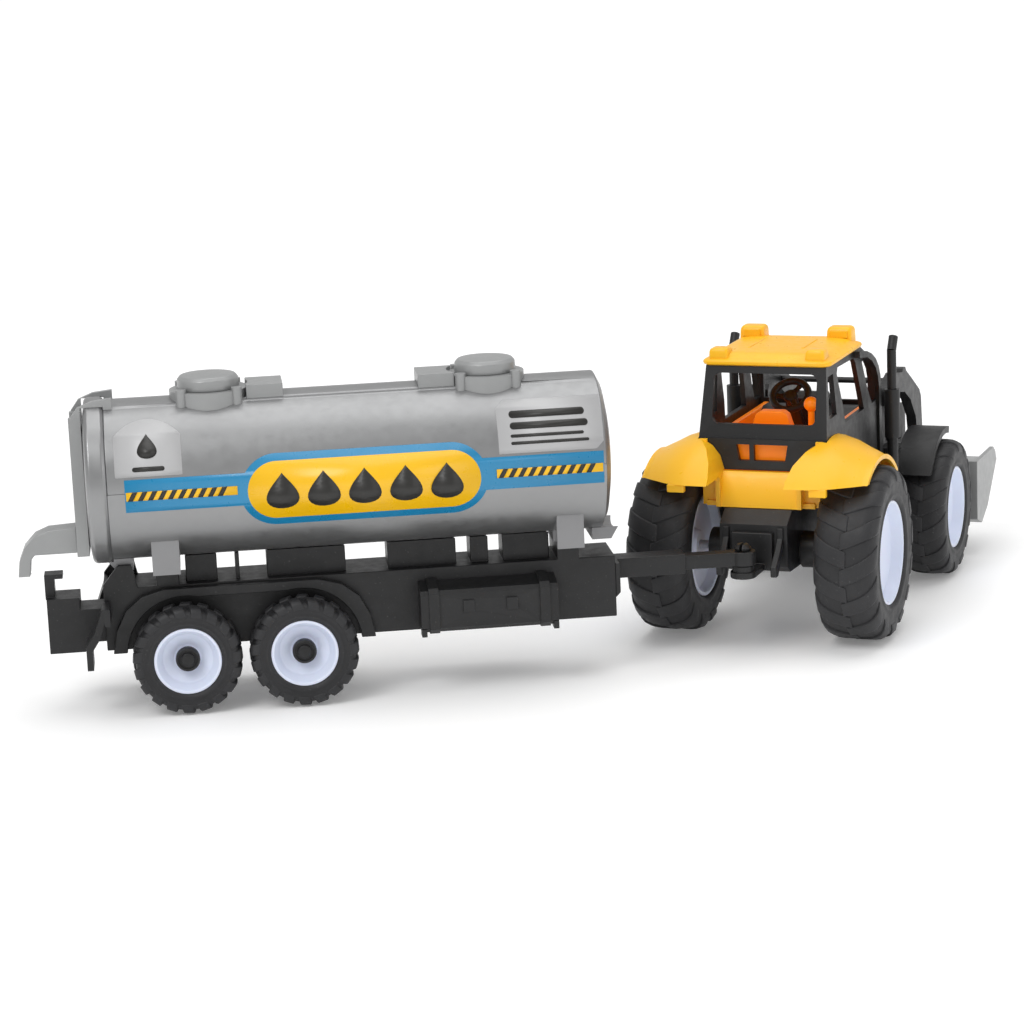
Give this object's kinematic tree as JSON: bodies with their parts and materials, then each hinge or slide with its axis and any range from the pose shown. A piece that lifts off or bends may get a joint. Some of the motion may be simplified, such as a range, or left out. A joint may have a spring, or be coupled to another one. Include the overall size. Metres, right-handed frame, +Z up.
{
  "type": "toy tractor with tanker trailer",
  "caption": "Toy farm tractor with a front loader, hitched at an angle to a silver liquid tanker trailer with a striped side band.",
  "frame": {"origin": "on the ground, under the middle of the bounding box of the whole rig at rest", "axes": "+X along the trailer from its tail to its hitch, +Y to the trailer's left, +Z up"},
  "size_m": [0.4654, 0.276, 0.1364],
  "materials": {
    "silver_plastic": "satin silver-coloured moulding",
    "grey_plastic": "satin light grey moulding",
    "cradle_grey_plastic": "plain mid grey moulding",
    "black_plastic": "fine-grained black moulding",
    "yellow_plastic": "shiny warm yellow moulding",
    "orange_plastic": "shiny orange moulding",
    "rim_plastic": "shiny pale lilac moulding",
    "tyre": "soft black tyre with low sheen",
    "steel": "plain drawn wire",
    "blue_foil": "printed blue foil",
    "yellow_foil": "printed yellow foil",
    "silver_foil": "printed pale grey foil",
    "lamp_plastic": "pale clear-coated lamp"
  },
  "bodies": {
    "trailer": {"tank_upper_shell": "silver_plastic", "tank_lower_shell": "silver_plastic", "tank_rear_cap": "silver_plastic", "tank_front_cap": "silver_plastic", "tank_cradles": "cradle_grey_plastic", "hatch_bases": "grey_plastic", "hatch_lids": "grey_plastic", "walkway_pads": "grey_plastic", "ladder": "grey_plastic", "outlet_spout": "grey_plastic", "side_labels": "blue_foil", "label_panels": "yellow_foil", "plate_labels": "silver_foil", "tank_screws": "steel", "trailer_chassis": "black_plastic", "mudguard_left": "black_plastic", "mudguard_right": "black_plastic", "tool_box_left": "black_plastic", "tool_box_right": "black_plastic", "mud_flaps": "black_plastic", "tow_hook": "black_plastic", "drawbar": "black_plastic"},
    "trailer_rear_wheels": {"trailer_rear_axle": "steel", "trailer_rear_tyres": "tyre", "trailer_rear_rims": "rim_plastic", "trailer_rear_caps": "black_plastic"},
    "trailer_front_wheels": {"trailer_front_axle": "steel", "trailer_front_tyres": "tyre", "trailer_front_rims": "rim_plastic", "trailer_front_caps": "black_plastic"},
    "tractor": {"tractor_chassis": "black_plastic", "hitch_plate": "black_plastic", "hitch_pin": "black_plastic", "linkage_struts": "black_plastic", "rear_body": "yellow_plastic", "tail_lamps": "yellow_plastic", "interior_tub": "orange_plastic", "seat": "orange_plastic", "dashboard": "black_plastic", "steering_column": "black_plastic", "cab_frame": "black_plastic", "roof": "yellow_plastic", "hood": "black_plastic", "grille": "black_plastic", "headlights": "lamp_plastic", "exhaust_stacks": "black_plastic", "side_steps": "black_plastic", "front_fenders": "black_plastic", "loader_masts": "black_plastic", "mast_pins": "black_plastic"},
    "steering": {"steering_wheel": "black_plastic"},
    "tractor_rear_wheels": {"rear_axle": "steel", "rear_tyres": "tyre", "rear_rims": "rim_plastic"},
    "tractor_front_wheels": {"front_axle": "steel", "front_tyres": "tyre", "front_rims": "rim_plastic"},
    "loader": {"loader_arms": "black_plastic", "arm_crossbar": "black_plastic"},
    "bucket": {"bucket": "grey_plastic"}
  },
  "joints": [
    {"name": "hitch_yaw", "type": "hinge", "parent": "trailer", "child": "tractor", "pos_m": [0.06997, -0.10383, 0.043], "axis": [0, 0, 1], "range_deg": [-127.5, 2.5]},
    {"name": "trailer_rear_axle_spin", "type": "hinge", "parent": "trailer", "child": "trailer_rear_wheels", "pos_m": [-0.16583, -0.10383, 0.0225], "axis": [0, 1, 0], "continuous": true},
    {"name": "trailer_front_axle_spin", "type": "hinge", "parent": "trailer", "child": "trailer_front_wheels", "pos_m": [-0.11813, -0.10383, 0.0225], "axis": [0, 1, 0], "continuous": true},
    {"name": "tractor_rear_axle_spin", "type": "hinge", "parent": "tractor", "child": "tractor_rear_wheels", "pos_m": [0.08936, -0.06658, 0.038], "axis": [-0.887, 0.4617, 0], "continuous": true},
    {"name": "tractor_front_axle_spin", "type": "hinge", "parent": "tractor", "child": "tractor_front_wheels", "pos_m": [0.14524, 0.04075, 0.0318], "axis": [-0.887, 0.4617, 0], "continuous": true},
    {"name": "steering_turn", "type": "hinge", "parent": "tractor", "child": "steering", "pos_m": [0.10622, -0.0342, 0.0985], "axis": [-0.309, -0.5935, 0.7431], "continuous": true},
    {"name": "loader_raise", "type": "hinge", "parent": "tractor", "child": "loader", "pos_m": [0.13, 0.01148, 0.09], "axis": [-0.887, 0.4617, 0], "range_deg": [-45, 0]},
    {"name": "bucket_tilt", "type": "hinge", "parent": "loader", "child": "bucket", "pos_m": [0.15909, 0.06736, 0.028], "axis": [-0.887, 0.4617, 0], "range_deg": [0, 35]}
  ]
}
